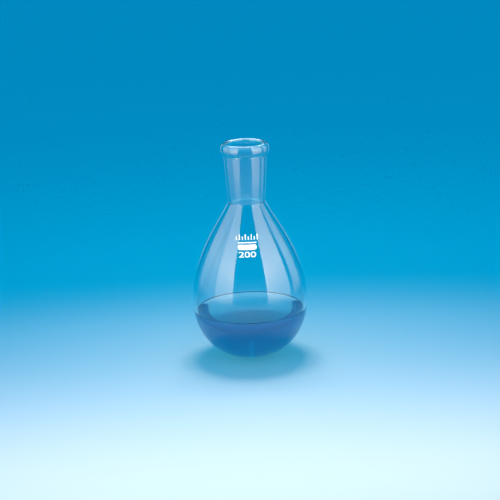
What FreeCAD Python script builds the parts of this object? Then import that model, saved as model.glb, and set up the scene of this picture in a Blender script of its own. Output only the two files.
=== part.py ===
import FreeCAD, Part
import math
import os

# A recovery flask: a pear-shaped, round-bottomed flask with some blue liquid in it. The flask is blown in one
# piece of clear borosilicate glass, and its neck is a ground 24/40 socket with a reinforced rim. It hangs by
# that socket, so the origin is the centre of the mouth. Sizes are in millimetres, +Z is up, and heights are
# counted from the outer bottom.

# Driving dimensions of the ground socket, its neck and its rim
socket_large_bore = 24.0
socket_small_bore = 20.0
socket_length = 40.0
neck_wall_at_shoulder = 2.15
shoulder_wall = 2.3
neck_diameter_under_rim = 28.2
rim_height = 8.4
rim_diameter = 31.7
rim_widest_depth = 3.8
rim_underside_side_arm = 3.2
rim_underside_neck_arm = 0.5
rim_crest_diameter = 27.8
lip_depth = 1.4

# Driving dimensions of the bulb
overall_height = 144.0
bulb_diameter = 76.0
bulb_wall = 2.0
equator_height = 40.0
equator_curve_radius = 58.0
shoulder_half_angle = 30.0
shoulder_straight_length = 3.0
shoulder_curve_arm = 14.0
shoulder_outer_fillet = 2.0
shoulder_inner_fillet = 0.8

# Driving dimensions of the liquid, whose surface turns up where it meets the glass
liquid_contact_height = 33.1
liquid_clearance = 0.1
meniscus_rise = 1.8
meniscus_width = 7.0
contact_angle = 25.0

# Shape factors, as shares of a curve's own reach: a true quarter of a circle has 0.5523
quarter_round = 0.5523
bottom_fullness = 0.656

# Dependent sizes
bulb_radius = bulb_diameter / 2
socket_large_radius = socket_large_bore / 2
socket_small_radius = socket_small_bore / 2
socket_end_height = overall_height - socket_length
neck_radius_at_shoulder = socket_small_radius + neck_wall_at_shoulder
shoulder_angle = math.radians(shoulder_half_angle)
lip_bore_radius = socket_large_radius - (socket_large_radius - socket_small_radius) * lip_depth / socket_length


def at(radius, height):
    """A point of the profile, from its distance to the axis and its height above the bottom."""
    return FreeCAD.Vector(radius, 0, height - overall_height)


def line(start, end):
    return Part.LineSegment(start, end).toShape()


def curve(*points):
    """A Bezier curve through its first and last point, drawn towards those between."""
    bezier = Part.BezierCurve()
    bezier.setPoles(list(points))
    return bezier.toShape()


def quarter(start, corner, end):
    """A quarter of an ellipse from start to end, inside their corner."""
    return curve(start, start + (corner - start) * quarter_round, end + (corner - end) * quarter_round, end)


def rounded_corner(start, corner, end, radius):
    """Two straight stretches from start to end, joined at their corner by an arc."""
    towards_start = (start - corner).normalize()
    towards_end = (end - corner).normalize()
    half_angle = towards_start.getAngle(towards_end) / 2
    setback = radius / math.tan(half_angle)
    arc_start = corner + towards_start * setback
    arc_end = corner + towards_end * setback
    inward = (towards_start + towards_end).normalize()
    arc_middle = corner + inward * (radius / math.sin(half_angle) - radius)
    arc = Part.Arc(arc_start, arc_middle, arc_end).toShape()
    return [line(start, arc_start), arc, line(arc_end, end)]


def revolved(edges):
    """The solid that a closed profile sweeps round the axis."""
    face = Part.Face(Part.Wire(edges))
    return face.revolve(FreeCAD.Vector(0, 0, 0), FreeCAD.Vector(0, 0, 1), 360)


def shoulder_corner(outward, radius):
    """The point with this radius on the shoulder's cone, which lies this far outside the socket's end."""
    rise = (outward - (radius - socket_small_radius) * math.cos(shoulder_angle)) / math.sin(shoulder_angle)
    return at(radius, socket_end_height + rise)


def bulb_curves(inset, corner):
    """The points of the bulb's lower and side curves, this far inside its outer surface, up to its shoulder.

    The two meet at the equator with the same curvature: its arms there follow from the curve's radius."""
    radius = bulb_radius - inset
    curve_radius = equator_curve_radius - inset
    reach = radius * bottom_fullness
    down_the_cone = FreeCAD.Vector(math.sin(shoulder_angle), 0, -math.cos(shoulder_angle))
    cone_end = corner + down_the_cone * shoulder_straight_length
    drawn_to = cone_end + down_the_cone * shoulder_curve_arm
    lower_arm = math.sqrt(curve_radius * (radius - reach) * 2 / 3)
    side_arm = math.sqrt(curve_radius * (radius - drawn_to.x) * 2 / 3)
    equator = at(radius, equator_height)
    lower = [at(0, inset), at(reach, inset), at(radius, equator_height - lower_arm), equator]
    side = [equator, at(radius, equator_height + side_arm), drawn_to, cone_end]
    return lower, side


def flask():
    """The whole flask from one profile: up its outside, over the rim, down the bore and round the inside."""
    shoulder = shoulder_corner(shoulder_wall, neck_radius_at_shoulder)
    rim_bottom = at(neck_diameter_under_rim / 2, overall_height - rim_height)
    rim_widest = at(rim_diameter / 2, overall_height - rim_widest_depth)
    rim_crest = at(rim_crest_diameter / 2, overall_height)
    lip_end = at(lip_bore_radius, overall_height - lip_depth)
    socket_end = shoulder_corner(0, socket_small_radius)

    outer_lower, outer_side = bulb_curves(0, shoulder)
    inner_lower, inner_side = bulb_curves(bulb_wall, socket_end)
    side_arm = FreeCAD.Vector(0, 0, rim_underside_side_arm)
    neck_arm = (rim_bottom - shoulder).normalize() * rim_underside_neck_arm

    outside = [curve(*outer_lower), curve(*outer_side)]
    outside += rounded_corner(outer_side[-1], shoulder, rim_bottom, shoulder_outer_fillet)
    outside.append(curve(rim_bottom, rim_bottom + neck_arm, rim_widest - side_arm, rim_widest))
    outside.append(quarter(rim_widest, at(rim_diameter / 2, overall_height), rim_crest))

    inside = [quarter(rim_crest, at(lip_bore_radius, overall_height), lip_end)]
    inside += rounded_corner(lip_end, socket_end, inner_side[-1], shoulder_inner_fillet)
    inside.append(curve(*reversed(inner_side)))
    inside.append(curve(*reversed(inner_lower)))
    return revolved(outside + inside + [line(inner_lower[0], outer_lower[0])])


def blue_liquid():
    """The liquid fills the bulb up to its level, and its surface turns up to a thin edge at the glass."""
    inset = bulb_wall + liquid_clearance
    top = shoulder_corner(-liquid_clearance, socket_small_radius)
    lower, side = bulb_curves(inset, top)
    room = revolved([
        curve(*lower),
        curve(*side),
        line(side[-1], top),
        line(top, FreeCAD.Vector(0, 0, top.z)),
        line(FreeCAD.Vector(0, 0, top.z), lower[0]),
    ])

    level = liquid_contact_height - meniscus_rise
    edge_radius = room.slice(FreeCAD.Vector(0, 0, 1), at(0, liquid_contact_height).z)[0].BoundBox.XMax
    lean = meniscus_rise * math.tan(math.radians(contact_angle))
    flat_middle = at(0, level)
    flat_edge = at(edge_radius - meniscus_width, level)
    contact = at(edge_radius, liquid_contact_height)
    beside_contact = at(bulb_radius, liquid_contact_height)
    air = revolved([
        line(flat_middle, flat_edge),
        curve(flat_edge, at(edge_radius - lean, level), contact),
        line(contact, beside_contact),
        line(beside_contact, at(bulb_radius, overall_height)),
        line(at(bulb_radius, overall_height), at(0, overall_height)),
        line(at(0, overall_height), flat_middle),
    ])
    return room.cut(air)


os.makedirs("parts", exist_ok=True)
for name, shape in (("flask", flask()), ("blue_liquid", blue_liquid())):
    shape.exportStep("parts/" + name + ".step")
    volume_in_ml = round(shape.Volume / 1000, 2)
    print(name, "valid", shape.isValid(), "solids", len(shape.Solids), "volume in ml", volume_in_ml)
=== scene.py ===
import bpy
import bmesh
import math
from mathutils import Matrix, Vector, bvhtree


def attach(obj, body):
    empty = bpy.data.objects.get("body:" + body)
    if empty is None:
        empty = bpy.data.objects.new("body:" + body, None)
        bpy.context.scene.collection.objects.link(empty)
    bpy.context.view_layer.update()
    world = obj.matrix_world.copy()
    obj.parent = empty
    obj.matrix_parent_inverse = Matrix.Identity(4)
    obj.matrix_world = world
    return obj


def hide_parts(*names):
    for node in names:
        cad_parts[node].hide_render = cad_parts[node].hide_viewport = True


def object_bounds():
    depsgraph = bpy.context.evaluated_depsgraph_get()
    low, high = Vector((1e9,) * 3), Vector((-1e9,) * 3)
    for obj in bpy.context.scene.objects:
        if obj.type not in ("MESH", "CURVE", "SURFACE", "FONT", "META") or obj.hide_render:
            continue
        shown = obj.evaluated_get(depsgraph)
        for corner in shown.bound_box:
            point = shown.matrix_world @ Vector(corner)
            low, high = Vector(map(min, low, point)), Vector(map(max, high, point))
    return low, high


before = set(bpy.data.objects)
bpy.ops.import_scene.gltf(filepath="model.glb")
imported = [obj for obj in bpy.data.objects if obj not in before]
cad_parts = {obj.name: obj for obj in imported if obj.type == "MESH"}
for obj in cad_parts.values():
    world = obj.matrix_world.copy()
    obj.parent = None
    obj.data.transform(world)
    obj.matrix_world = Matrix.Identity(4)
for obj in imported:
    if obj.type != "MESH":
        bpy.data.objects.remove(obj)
cad_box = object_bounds()

# The flask is blown in one piece of clear borosilicate glass. Its neck is a ground 24/40 socket, polished
# clear, with a rim rolled over at the flame. One outline is turned round its axis, so that its walls are
# smooth. Heights are counted from the outer bottom, and the origin is the centre of the mouth.
mm = 0.001
overall_height = cad_box[1].z - cad_box[0].z
bulb_radius = (cad_box[1].x - cad_box[0].x) / 2
socket_length = 40.0 * mm
socket_large_radius = 12.0 * mm
socket_small_radius = 10.0 * mm
neck_radius_at_shoulder = 12.15 * mm
neck_radius_under_rim = 14.1 * mm
rim_height = 8.4 * mm
rim_radius = 15.85 * mm
rim_widest_depth = 3.8 * mm
rim_underside_side_arm = 3.2 * mm
rim_underside_neck_arm = 0.5 * mm
rim_crest_radius = 13.9 * mm
lip_depth = 1.4 * mm
wall = 2.0 * mm
shoulder_wall = 2.3 * mm
equator_height = 40.0 * mm
equator_curve_radius = 58.0 * mm
bottom_fullness = 0.656
shoulder_angle = math.radians(30.0)
shoulder_straight_length = 3.0 * mm
shoulder_curve_arm = 14.0 * mm
shoulder_outer_fillet = 2.0 * mm
shoulder_inner_fillet = 0.8 * mm
quarter_round = 0.5523
steps_around = 112
glass_steps_each = 48
merge_within = 0.01 * mm


def at(radius, height):
    """A point of an outline: its distance to the axis, and its height above the bottom."""
    return Vector((radius, 0.0, height - overall_height))


def shoulder_corner(outward, radius):
    """The point with this radius on the shoulder's cone, this far outside the cone at the socket's end."""
    across = (radius - socket_small_radius) * math.cos(shoulder_angle)
    rise = (outward - across) / math.sin(shoulder_angle)
    return at(radius, overall_height - socket_length + rise)


def bulb_curves(inset, corner):
    """The bulb's lower and side curves, this far inside its outer surface and up to its shoulder."""
    radius = bulb_radius - inset
    curve_radius = equator_curve_radius - inset
    down_the_cone = Vector((math.sin(shoulder_angle), 0.0, -math.cos(shoulder_angle)))
    cone_end = corner + down_the_cone * shoulder_straight_length
    drawn_to = cone_end + down_the_cone * shoulder_curve_arm
    reach = radius * bottom_fullness
    lower_arm = math.sqrt(curve_radius * (radius - reach) * 2 / 3)
    side_arm = math.sqrt(curve_radius * (radius - drawn_to.x) * 2 / 3)
    equator = at(radius, equator_height)
    lower = [at(0, inset), at(reach, inset), at(radius, equator_height - lower_arm), equator]
    side = [equator, at(radius, equator_height + side_arm), drawn_to, cone_end]
    return lower, side


def straight(start, end):
    return [start, start.lerp(end, 1 / 3), start.lerp(end, 2 / 3), end]


def quarter(start, corner, end):
    return [start, start.lerp(corner, quarter_round), end.lerp(corner, quarter_round), end]


def rounded_corner(start, corner, end, radius):
    """Two straight stretches, joined at their corner by a curve that keeps to this radius."""
    towards_start = (start - corner).normalized()
    towards_end = (end - corner).normalized()
    half_angle = towards_start.angle(towards_end) / 2
    setback = radius / math.tan(half_angle)
    curve_start = corner + towards_start * setback
    curve_end = corner + towards_end * setback
    arm = radius * 4 / 3 * math.tan((math.pi / 2 - half_angle) / 2)
    turn = [curve_start, curve_start - towards_start * arm, curve_end - towards_end * arm, curve_end]
    return [straight(start, curve_start), turn, straight(curve_end, end)]


def outline_object(name, stretches, steps_each):
    """One open Bezier spline through stretches that follow each other, for a tree that turns it round."""
    data = bpy.data.curves.new(name, "CURVE")
    data.dimensions = "3D"
    data.resolution_u = steps_each
    spline = data.splines.new("BEZIER")
    spline.bezier_points.add(len(stretches))
    for index, point in enumerate(spline.bezier_points):
        before = stretches[index - 1] if index > 0 else None
        after = stretches[index] if index < len(stretches) else None
        here = after[0] if after else before[3]
        point.handle_left_type = "FREE"
        point.handle_right_type = "FREE"
        point.co = here
        point.handle_left = before[2] if before else here
        point.handle_right = after[1] if after else here
    made = bpy.data.objects.new(name, data)
    bpy.context.scene.collection.objects.link(made)
    return made


def add(tree, kind, settings=None, values=None, **links):
    """Adds a node with its settings, its input values by name or number, and links into its inputs."""
    node = tree.nodes.new(kind)
    for key, value in (settings or {}).items():
        setattr(node, key, value)
    for key, value in (values or {}).items():
        node.inputs[key].default_value = value
    for key, source in links.items():
        target = int(key[1:]) if key[0] == "_" and key[1:].isdigit() else key.replace("_", " ")
        tree.links.new(source, node.inputs[target])
    return node


def turned_tree():
    """Geometry nodes that turn an outline in the XZ plane round the Z axis into a closed, smooth mesh."""
    tree = bpy.data.node_groups.new("turned outline", "GeometryNodeTree")
    face = tree.interface
    face.new_socket("Outline", in_out="INPUT", socket_type="NodeSocketGeometry")
    around = face.new_socket("Steps Around", in_out="INPUT", socket_type="NodeSocketInt")
    around.default_value = steps_around
    face.new_socket("Glass", in_out="INPUT", socket_type="NodeSocketMaterial")
    face.new_socket("Mesh", in_out="OUTPUT", socket_type="NodeSocketGeometry")
    given = tree.nodes.new("NodeGroupInput")

    # The outline becomes a row of points, and a grid's vertex takes the row's point by its index along it
    row = add(tree, "GeometryNodeCurveToPoints", {"mode": "EVALUATED"}, Curve=given.outputs["Outline"])
    count = add(tree, "GeometryNodeAttributeDomainSize", {"component": "POINTCLOUD"},
                Geometry=row.outputs["Points"])
    columns = add(tree, "ShaderNodeMath", {"operation": "ADD"}, {1: 1.0}, _0=given.outputs["Steps Around"])
    grid = add(tree, "GeometryNodeMeshGrid", None, {"Size X": 1.0, "Size Y": 1.0},
               Vertices_X=columns.outputs[0], Vertices_Y=count.outputs["Point Count"])
    index = tree.nodes.new("GeometryNodeInputIndex")
    column = add(tree, "ShaderNodeMath", {"operation": "DIVIDE"},
                 _0=index.outputs[0], _1=count.outputs["Point Count"])
    whole_column = add(tree, "ShaderNodeMath", {"operation": "FLOOR"}, _0=column.outputs[0])
    place = add(tree, "ShaderNodeMath", {"operation": "MODULO"},
                _0=index.outputs[0], _1=count.outputs["Point Count"])
    position = tree.nodes.new("GeometryNodeInputPosition")
    point = add(tree, "GeometryNodeSampleIndex", {"data_type": "FLOAT_VECTOR", "domain": "POINT"},
                Geometry=row.outputs["Points"], Value=position.outputs[0], Index=place.outputs[0])
    share = add(tree, "ShaderNodeMath", {"operation": "DIVIDE"},
                _0=whole_column.outputs[0], _1=given.outputs["Steps Around"])
    angle = add(tree, "ShaderNodeMath", {"operation": "MULTIPLY"}, {1: math.tau}, _0=share.outputs[0])
    turned_point = add(tree, "ShaderNodeVectorRotate", {"rotation_type": "Z_AXIS"},
                       Vector=point.outputs["Value"], Angle=angle.outputs[0])
    placed = add(tree, "GeometryNodeSetPosition",
                 Geometry=grid.outputs["Mesh"], Position=turned_point.outputs[0])
    merged = add(tree, "GeometryNodeMergeByDistance", None, {"Distance": merge_within},
                 Geometry=placed.outputs[0])
    smooth = add(tree, "GeometryNodeSetShadeSmooth", Geometry=merged.outputs[0])
    real = add(tree, "GeometryNodeRealizeInstances", Geometry=smooth.outputs[0])
    painted = add(tree, "GeometryNodeSetMaterial", Geometry=real.outputs[0], Material=given.outputs["Glass"])
    result = tree.nodes.new("NodeGroupOutput")
    tree.links.new(painted.outputs[0], result.inputs["Mesh"])
    return tree


turned = turned_tree()


def turned_piece(name, stretches, material, steps_each):
    """A plain mesh object: the outline turned round the axis, with its faces outward."""
    outline = outline_object(name + "_outline", stretches, steps_each)
    modifier = outline.modifiers.new("turned", "NODES")
    modifier.node_group = turned
    sockets = {item.name: item.identifier for item in turned.interface.items_tree if item.in_out == "INPUT"}
    modifier[sockets["Steps Around"]] = steps_around
    modifier[sockets["Glass"]] = material
    evaluated = outline.evaluated_get(bpy.context.evaluated_depsgraph_get())
    mesh = bpy.data.meshes.new_from_object(evaluated)
    mesh.name = name
    mesh.materials.clear()
    mesh.materials.append(material)
    made = bpy.data.objects.new(name, mesh)
    bpy.context.scene.collection.objects.link(made)
    bpy.data.objects.remove(outline)
    return made


def linear(hex_colour):
    """An sRGB hex colour as linear values, with full alpha."""
    shares = [int(hex_colour[i:i + 2], 16) / 255 for i in (1, 3, 5)]
    return [s / 12.92 if s <= 0.04045 else ((s + 0.055) / 1.055) ** 2.4 for s in shares] + [1.0]


def new_material(name):
    material = bpy.data.materials.new(name)
    material.use_nodes = True
    material.node_tree.nodes.clear()
    return material


# Borosilicate glass 3.3, blown and fire-polished: clear, with a very slight long waviness that the eye sees
# only in the edges of its reflections
wave_length = 18 * mm
wave_depth = 0.12 * mm
glass = new_material("blown borosilicate glass")
tree = glass.node_tree
where = tree.nodes.new("ShaderNodeTexCoord")
blow_waves = add(tree, "ShaderNodeTexNoise", None,
                 {"Scale": 1 / wave_length, "Detail": 1.0, "Roughness": 0.4},
                 Vector=where.outputs["Object"])
waviness = add(tree, "ShaderNodeBump", None, {"Strength": 0.12, "Distance": wave_depth},
               Height=blow_waves.outputs["Fac"])
body = add(tree, "ShaderNodeBsdfPrincipled", None,
           {"Base Color": linear("#FBFDFE"), "Roughness": 0.0, "IOR": 1.473, "Transmission Weight": 1.0},
           Normal=waviness.outputs[0])
add(tree, "ShaderNodeOutputMaterial", Surface=body.outputs[0])

shoulder = shoulder_corner(shoulder_wall, neck_radius_at_shoulder)
rim_bottom = at(neck_radius_under_rim, overall_height - rim_height)
rim_widest = at(rim_radius, overall_height - rim_widest_depth)
rim_crest = at(rim_crest_radius, overall_height)
lip_radius = socket_large_radius - (socket_large_radius - socket_small_radius) * lip_depth / socket_length
lip_end = at(lip_radius, overall_height - lip_depth)
socket_end = shoulder_corner(0.0, socket_small_radius)
from_neck = (rim_bottom - shoulder).normalized() * rim_underside_neck_arm
from_side = Vector((0, 0, rim_underside_side_arm))
outer_lower, outer_side = bulb_curves(0.0, shoulder)
inner_lower, inner_side = bulb_curves(wall, socket_end)

glass_outline = [outer_lower, outer_side]
glass_outline += rounded_corner(outer_side[3], shoulder, rim_bottom, shoulder_outer_fillet)
glass_outline.append([rim_bottom, rim_bottom + from_neck, rim_widest - from_side, rim_widest])
glass_outline.append(quarter(rim_widest, at(rim_radius, overall_height), rim_crest))
glass_outline.append(quarter(rim_crest, at(lip_radius, overall_height), lip_end))
glass_outline += rounded_corner(lip_end, socket_end, inner_side[3], shoulder_inner_fillet)
glass_outline += [inner_side[::-1], inner_lower[::-1]]

glass_body = turned_piece("glass_body", glass_outline, glass, glass_steps_each)
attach(glass_body, "root")
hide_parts("flask")

# The liquid is dyed water that rests in the bulb. It wets the glass, so its surface turns up to a thin edge
# there. Its side reaches a little into the wall, so that no air lies between glass and water.
liquid_contact_height = 33.1 * mm
liquid_overlap = 0.05 * mm
meniscus_rise = 1.8 * mm
meniscus_width = 7.0 * mm
contact_angle = math.radians(25.0)
liquid_steps_each = 64
halvings = 40

# Water with a copper-blue dye: nearly no red passes, and most of the blue does
dyed_water = new_material("blue dyed water")
tree = dyed_water.node_tree
body = add(tree, "ShaderNodeBsdfPrincipled", None,
           {"Base Color": linear("#FFFFFF"), "Roughness": 0.0, "IOR": 1.333, "Transmission Weight": 1.0})
depth = add(tree, "ShaderNodeVolumeAbsorption", None, {"Color": linear("#00EAF5"), "Density": 88.0})
add(tree, "ShaderNodeOutputMaterial", Surface=body.outputs[0], Volume=depth.outputs[0])


def split(stretch, share):
    """The first part of a Bezier stretch, up to this share of it."""
    first = [stretch[i].lerp(stretch[i + 1], share) for i in range(3)]
    second = [first[i].lerp(first[i + 1], share) for i in range(2)]
    return [stretch[0], first[0], second[0], second[0].lerp(second[1], share)]


# The share of the bulb's lower curve that the liquid wets, halved towards until it ends at the contact line
liquid_corner = shoulder_corner(liquid_overlap, socket_small_radius)
liquid_lower = bulb_curves(wall - liquid_overlap, liquid_corner)[0]
contact_z = at(0, liquid_contact_height).z
low_share = 0.0
high_share = 1.0
for halving in range(halvings):
    share = (low_share + high_share) / 2
    if split(liquid_lower, share)[3].z < contact_z:
        low_share = share
    else:
        high_share = share
wetted = split(liquid_lower, share)
contact = wetted[3]
level_z = contact.z - meniscus_rise
flat_edge = Vector((contact.x - meniscus_width, 0.0, level_z))
drawn_to = Vector((contact.x - meniscus_rise * math.tan(contact_angle), 0.0, level_z))
meniscus = [contact, contact.lerp(drawn_to, 2 / 3), flat_edge.lerp(drawn_to, 2 / 3), flat_edge]
liquid_outline = [wetted, meniscus, straight(flat_edge, Vector((0, 0, level_z)))]

liquid_body = turned_piece("liquid_body", liquid_outline, dyed_water, liquid_steps_each)
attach(liquid_body, "root")
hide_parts("blue_liquid")

# The mark is white ceramic enamel, screened onto the outside of the bulb and fired into the glass, a few
# hundredths of a millimetre thick. It is generic: a row of ticks, a bar with a line over it, and a number.
mark_centre_x = -0.7 * mm
mark_thickness = 0.05 * mm
mark_sunk = 0.015 * mm
mark_cut = 0.6 * mm
tick_count = 8
tick_width = 0.55 * mm
tick_low = 85.0 * mm
tick_high = (87.2 * mm, 88.4 * mm)
row_width = 13.4 * mm
bar_low = 79.3 * mm
bar_high = 82.3 * mm
bar_width = 12.0 * mm
line_low = 83.2 * mm
line_high = 83.8 * mm
number_low = 74.9 * mm
number_height = 3.3 * mm
number_width = 11.0 * mm
corner_share = 0.8
corner_steps = 4
weld_within = 0.001 * mm
in_front_y = -1.0

# White enamel: matt to satin where it is fired, thinner and greyer in patches, with a fine printed grain
patch_size = 0.9 * mm
grain_depth = 0.02 * mm
enamel = new_material("white fired enamel")
tree = enamel.node_tree
where = tree.nodes.new("ShaderNodeTexCoord")
film = add(tree, "ShaderNodeTexNoise", None, {"Scale": 1 / patch_size, "Detail": 3.0},
           Vector=where.outputs["Object"])
tone = tree.nodes.new("ShaderNodeValToRGB")
tone.color_ramp.elements[0].position = 0.35
tone.color_ramp.elements[0].color = linear("#C3D0DA")
tone.color_ramp.elements[1].position = 0.6
tone.color_ramp.elements[1].color = linear("#E6EDF1")
tree.links.new(film.outputs["Fac"], tone.inputs["Fac"])
satin = add(tree, "ShaderNodeMapRange", None, {"To Min": 0.28, "To Max": 0.5}, Value=film.outputs["Fac"])
grain = add(tree, "ShaderNodeBump", None, {"Strength": 0.3, "Distance": grain_depth},
            Height=film.outputs["Fac"])
body = add(tree, "ShaderNodeBsdfPrincipled", None, None, Base_Color=tone.outputs["Color"],
           Roughness=satin.outputs["Result"], Normal=grain.outputs["Normal"])
add(tree, "ShaderNodeOutputMaterial", Surface=body.outputs[0])


def flat_bar(shape, centre_x, width, low, high):
    """A flat bar with rounded corners between these heights, in the plane y = 0, into this mesh."""
    low_x = centre_x - width / 2
    high_x = centre_x + width / 2
    low_z = at(0, low).z
    high_z = at(0, high).z
    radius = min(high_x - low_x, high_z - low_z) / 2 * corner_share
    ring = []
    for corner_x, corner_z, first_turn in (
        (high_x, high_z, 0),
        (low_x, high_z, 90),
        (low_x, low_z, 180),
        (high_x, low_z, 270),
    ):
        inner_x = corner_x + math.copysign(radius, (low_x + high_x) / 2 - corner_x)
        inner_z = corner_z + math.copysign(radius, (low_z + high_z) / 2 - corner_z)
        for step in range(corner_steps + 1):
            turn = math.radians(first_turn + step * 90 / corner_steps)
            here = (inner_x + radius * math.cos(turn), 0, inner_z + radius * math.sin(turn))
            ring.append(shape.verts.new(here))
    shape.faces.new(ring)


def flat_number(shape, digits, centre_x, width, low, high):
    """A number in the built-in typeface between these heights, in the plane y = 0, into this mesh."""
    data = bpy.data.curves.new("number", "FONT")
    data.body = digits
    data.resolution_u = 6
    text = bpy.data.objects.new("number", data)
    bpy.context.scene.collection.objects.link(text)
    mesh = bpy.data.meshes.new_from_object(text.evaluated_get(bpy.context.evaluated_depsgraph_get()))
    bpy.data.objects.remove(text)
    least = [min(vertex.co[axis] for vertex in mesh.vertices) for axis in (0, 1)]
    most = [max(vertex.co[axis] for vertex in mesh.vertices) for axis in (0, 1)]
    low_x = centre_x - width / 2
    high_x = centre_x + width / 2
    low_z = at(0, low).z
    high_z = at(0, high).z
    for vertex in mesh.vertices:
        share = [(vertex.co[axis] - least[axis]) / (most[axis] - least[axis]) for axis in (0, 1)]
        vertex.co = (low_x + share[0] * (high_x - low_x), 0, low_z + share[1] * (high_z - low_z))
    shape.from_mesh(mesh)
    bpy.data.meshes.remove(mesh)


shape = bmesh.new()
for tick in range(tick_count):
    tick_x = mark_centre_x + row_width * (tick / (tick_count - 1) - 0.5)
    flat_bar(shape, tick_x, tick_width, tick_low, tick_high[tick % 2])
flat_bar(shape, mark_centre_x, bar_width, bar_low, bar_high)
flat_bar(shape, mark_centre_x, bar_width, line_low, line_high)
flat_number(shape, "200", mark_centre_x, number_width, number_low, number_low + number_height)
bmesh.ops.remove_doubles(shape, verts=shape.verts, dist=weld_within)
bmesh.ops.triangulate(shape, faces=shape.faces)
for axis in (0, 2):
    across = Vector((axis == 0, 0, axis == 2))
    places = [vertex.co[axis] for vertex in shape.verts]
    steps = int((max(places) - min(places)) / mark_cut)
    for step in range(1, steps + 1):
        bmesh.ops.bisect_plane(shape, geom=shape.verts[:] + shape.edges[:] + shape.faces[:],
                               plane_co=across * (min(places) + step * mark_cut), plane_no=across)

# The flat mark is laid onto the glass from in front, and then given its thickness
bmesh.ops.recalc_face_normals(shape, faces=shape.faces)
if shape.faces[:][0].normal.y > 0:
    bmesh.ops.reverse_faces(shape, faces=shape.faces)
glass_tree = bvhtree.BVHTree.FromObject(glass_body, bpy.context.evaluated_depsgraph_get())
backward = Vector((0, 1, 0))
for vertex in shape.verts:
    in_front = Vector((vertex.co.x, in_front_y, vertex.co.z))
    hit, normal, face, distance = glass_tree.ray_cast(in_front, backward)
    vertex.co = hit + normal * (mark_thickness - mark_sunk)
mark_mesh = bpy.data.meshes.new("enamel_mark")
shape.to_mesh(mark_mesh)
shape.free()
mark_mesh.materials.append(enamel)
enamel_mark = bpy.data.objects.new("enamel_mark", mark_mesh)
bpy.context.scene.collection.objects.link(enamel_mark)
thickness = enamel_mark.modifiers.new("thickness", "SOLIDIFY")
thickness.thickness = mark_thickness
thickness.offset = -1.0
solid = bpy.data.meshes.new_from_object(enamel_mark.evaluated_get(bpy.context.evaluated_depsgraph_get()))
enamel_mark.modifiers.clear()
enamel_mark.data = solid
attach(enamel_mark, "root")

# The studio, in metres: a seamless pale sweep under a soft blue fill, and lights outside the picture. Tall
# panels stand left and right of the flask, with narrow strips behind it and a ceiling panel over the back. A
# soft light overhead throws the shadow, and two lamps give the sweep its gradation.
floor_height = cad_box[0].z
floor_radius = 6.0
panel_bottom = 0.01
panel_tall = 0.44
panel_stops = (0.07, 0.33)
panel_top_share = 0.3
ceiling_place = Vector((0, 0.56, floor_height + 0.75))
ceiling_aim = Vector((0, 0.56, floor_height))
overhead_place = Vector((0, 0.12, floor_height + 0.52))
overhead_aim = Vector((0, -0.46, floor_height))

# Matt pale paper
paper = new_material("pale paper sweep")
tree = paper.node_tree
body = add(tree, "ShaderNodeBsdfPrincipled", None,
           {"Base Color": linear("#D3EAF6"), "Roughness": 0.9, "Specular IOR Level": 0.2})
add(tree, "ShaderNodeOutputMaterial", Surface=body.outputs[0])

floor_mesh = bpy.data.meshes.new("floor")
shape = bmesh.new()
bmesh.ops.create_circle(shape, cap_ends=True, segments=96, radius=floor_radius)
shape.to_mesh(floor_mesh)
shape.free()
floor_mesh.transform(Matrix.Translation((0, 0, floor_height)))
floor_mesh.materials.append(paper)
floor = bpy.data.objects.new("floor", floor_mesh)
bpy.context.scene.collection.objects.link(floor)

# The panels, the strips and the ceiling light the flask alone, so that they show in the glass and leave the
# sweep its own soft gradation. The two lamps over the sweep light it alone.
flask_alone = bpy.data.collections.new("flask alone")
for piece in (glass_body, liquid_body, enamel_mark):
    flask_alone.objects.link(piece)
sweep_alone = bpy.data.collections.new("sweep alone")
sweep_alone.objects.link(floor)


def soft_light(name, place, aim, width, tall, brightness, spread=180.0, colour="#FFFFFF"):
    """A rectangular soft light of this brightness, which the camera itself doesn't see."""
    data = bpy.data.lights.new(name, "AREA")
    data.shape = "RECTANGLE"
    data.size = width
    data.size_y = tall
    data.energy = brightness * math.pi * width * tall
    data.spread = math.radians(spread)
    data.color = linear(colour)[:3]
    made = bpy.data.objects.new(name, data)
    made.location = place
    made.rotation_euler = (aim - place).to_track_quat("-Z", "Y").to_euler()
    made.visible_camera = False
    bpy.context.scene.collection.objects.link(made)
    return made


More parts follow.
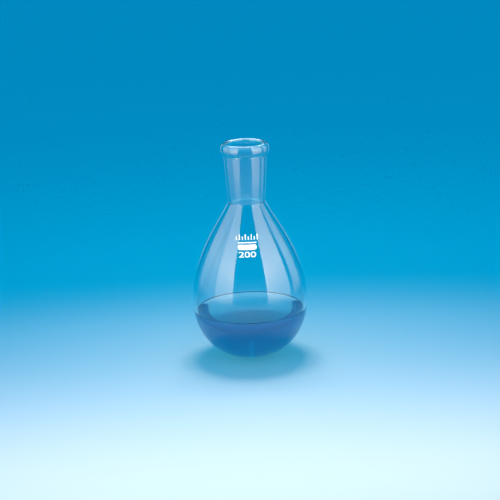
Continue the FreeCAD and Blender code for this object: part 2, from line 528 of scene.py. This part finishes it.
def side_panel(name, near_edge, far_edge, brightness, low_share, far_share):
    """An upright panel over the floor between two places, each a distance from the axis and a turn.

    Turns are counted from the camera. The panel is brightest a third of the way up, and falls to these shares
    low down and towards its far edge."""
    edges = [Vector((d * math.sin(math.radians(turn)), -d * math.cos(math.radians(turn)), 0.0))
             for d, turn in (near_edge, far_edge)]
    centre = edges[0].lerp(edges[1], 0.5)
    run = edges[1] - edges[0]
    inward = Vector((-run.y, run.x, 0.0))
    if inward.dot(centre) > 0:
        inward = -inward
    centre.z = floor_height + panel_bottom + panel_tall / 2
    panel = soft_light(name, centre, centre + inward, run.length, panel_tall, brightness, colour="#FFE5C8")
    panel.light_linking.receiver_collection = flask_alone
    panel.visible_transmission = False
    panel.data.use_nodes = True
    tree = panel.data.node_tree
    where = tree.nodes.new("ShaderNodeNewGeometry")
    place = add(tree, "ShaderNodeSeparateXYZ", Vector=where.outputs["Parametric"])
    upward = add(tree, "ShaderNodeValToRGB", _0=place.outputs["Y"])
    stops = upward.color_ramp.elements
    for height_share in panel_stops:
        stops.new(height_share)
    for stop, share in zip(stops, (0.0, low_share, 1.0, panel_top_share)):
        stop.color = (share, share, share, 1.0)
    along = panel.rotation_euler.to_matrix() @ Vector((1, 0, 0))
    ends = (1.0, far_share) if along.dot(run) > 0 else (far_share, 1.0)
    outward = add(tree, "ShaderNodeMapRange", None, {"To Min": ends[0], "To Max": ends[1]},
                  Value=place.outputs["X"])
    both = add(tree, "ShaderNodeMath", {"operation": "MULTIPLY"},
               _0=upward.outputs[0], _1=outward.outputs[0])
    tree.links.new(both.outputs[0], tree.nodes["Emission"].inputs["Strength"])


side_panel("panel_left", (0.28, -32), (0.26, -70), brightness=10.8, low_share=0.4, far_share=0.8)
side_panel("panel_left_back", (0.26, -70), (0.30, -120), brightness=5.0, low_share=0.25, far_share=0.5)
side_panel("strip_left", (0.30, -150), (0.30, -157), brightness=1.6, low_share=0.4, far_share=1.0)
side_panel("panel_right", (0.28, 33), (0.26, 84), brightness=12.0, low_share=0.4, far_share=0.6)
side_panel("panel_right_back", (0.27, 94), (0.30, 120), brightness=4.0, low_share=0.5, far_share=0.5)
side_panel("strip_right", (0.30, 150), (0.30, 157), brightness=1.6, low_share=0.4, far_share=1.0)

ceiling = soft_light("ceiling", ceiling_place, ceiling_aim, width=0.90, tall=0.60, brightness=11.0)
ceiling.light_linking.receiver_collection = flask_alone
ceiling.visible_transmission = False

overhead = soft_light("light_above", overhead_place, overhead_aim, width=0.20, tall=0.14, brightness=9.5,
                      spread=104.0, colour="#FFEEE0")
overhead.visible_transmission = False

for name, place_y, rise, width, tall, brightness, spread, colour in (
    ("light_cyan", 0.14, 0.50, 0.30, 0.20, 4.2, 170.0, "#00B8CA"),
    ("light_front", -0.22, 0.40, 0.60, 0.10, 1.6, 58.0, "#FFD0B0"),
):
    lamp = soft_light(name, Vector((0, place_y, floor_height + rise)), Vector((0, place_y, floor_height)),
                      width, tall, brightness, spread, colour)
    lamp.light_linking.receiver_collection = sweep_alone
    lamp.light_linking.blocker_collection = sweep_alone

world = bpy.data.worlds.new("studio")
world.use_nodes = True
bpy.context.scene.world = world
fill = world.node_tree.nodes["Background"]
fill.inputs["Color"].default_value = linear("#0095C6")
fill.inputs["Strength"].default_value = 1.0

# The camera stands where the photograph was taken from, and leans a little, as it did
camera_distance = 1.0397
camera_height = 0.3523
focal_pixels = 1637.0
picture_width = 500
pitch = math.radians(15.09)
yaw = math.radians(0.06)
roll = math.radians(-2.0)
most_bounces = 96
camera_data = bpy.data.cameras.new("camera")
camera_data.sensor_width = 36.0
camera_data.lens = camera_data.sensor_width * focal_pixels / picture_width
camera_data.clip_start = 0.01
camera_data.clip_end = 50.0
camera = bpy.data.objects.new("camera", camera_data)
camera.matrix_world = (
    Matrix.Translation((0, -camera_distance, floor_height + camera_height))
    @ Matrix.Rotation(-yaw, 4, "Z")
    @ Matrix.Rotation(math.pi / 2 - pitch, 4, "X")
    @ Matrix.Rotation(roll, 4, "Z")
)
bpy.context.scene.collection.objects.link(camera)
bpy.context.scene.camera = camera
bpy.context.scene.view_settings.view_transform = "Standard"
bpy.context.scene.cycles.max_bounces = most_bounces
bpy.context.scene.cycles.transmission_bounces = most_bounces
bpy.context.scene.cycles.glossy_bounces = most_bounces
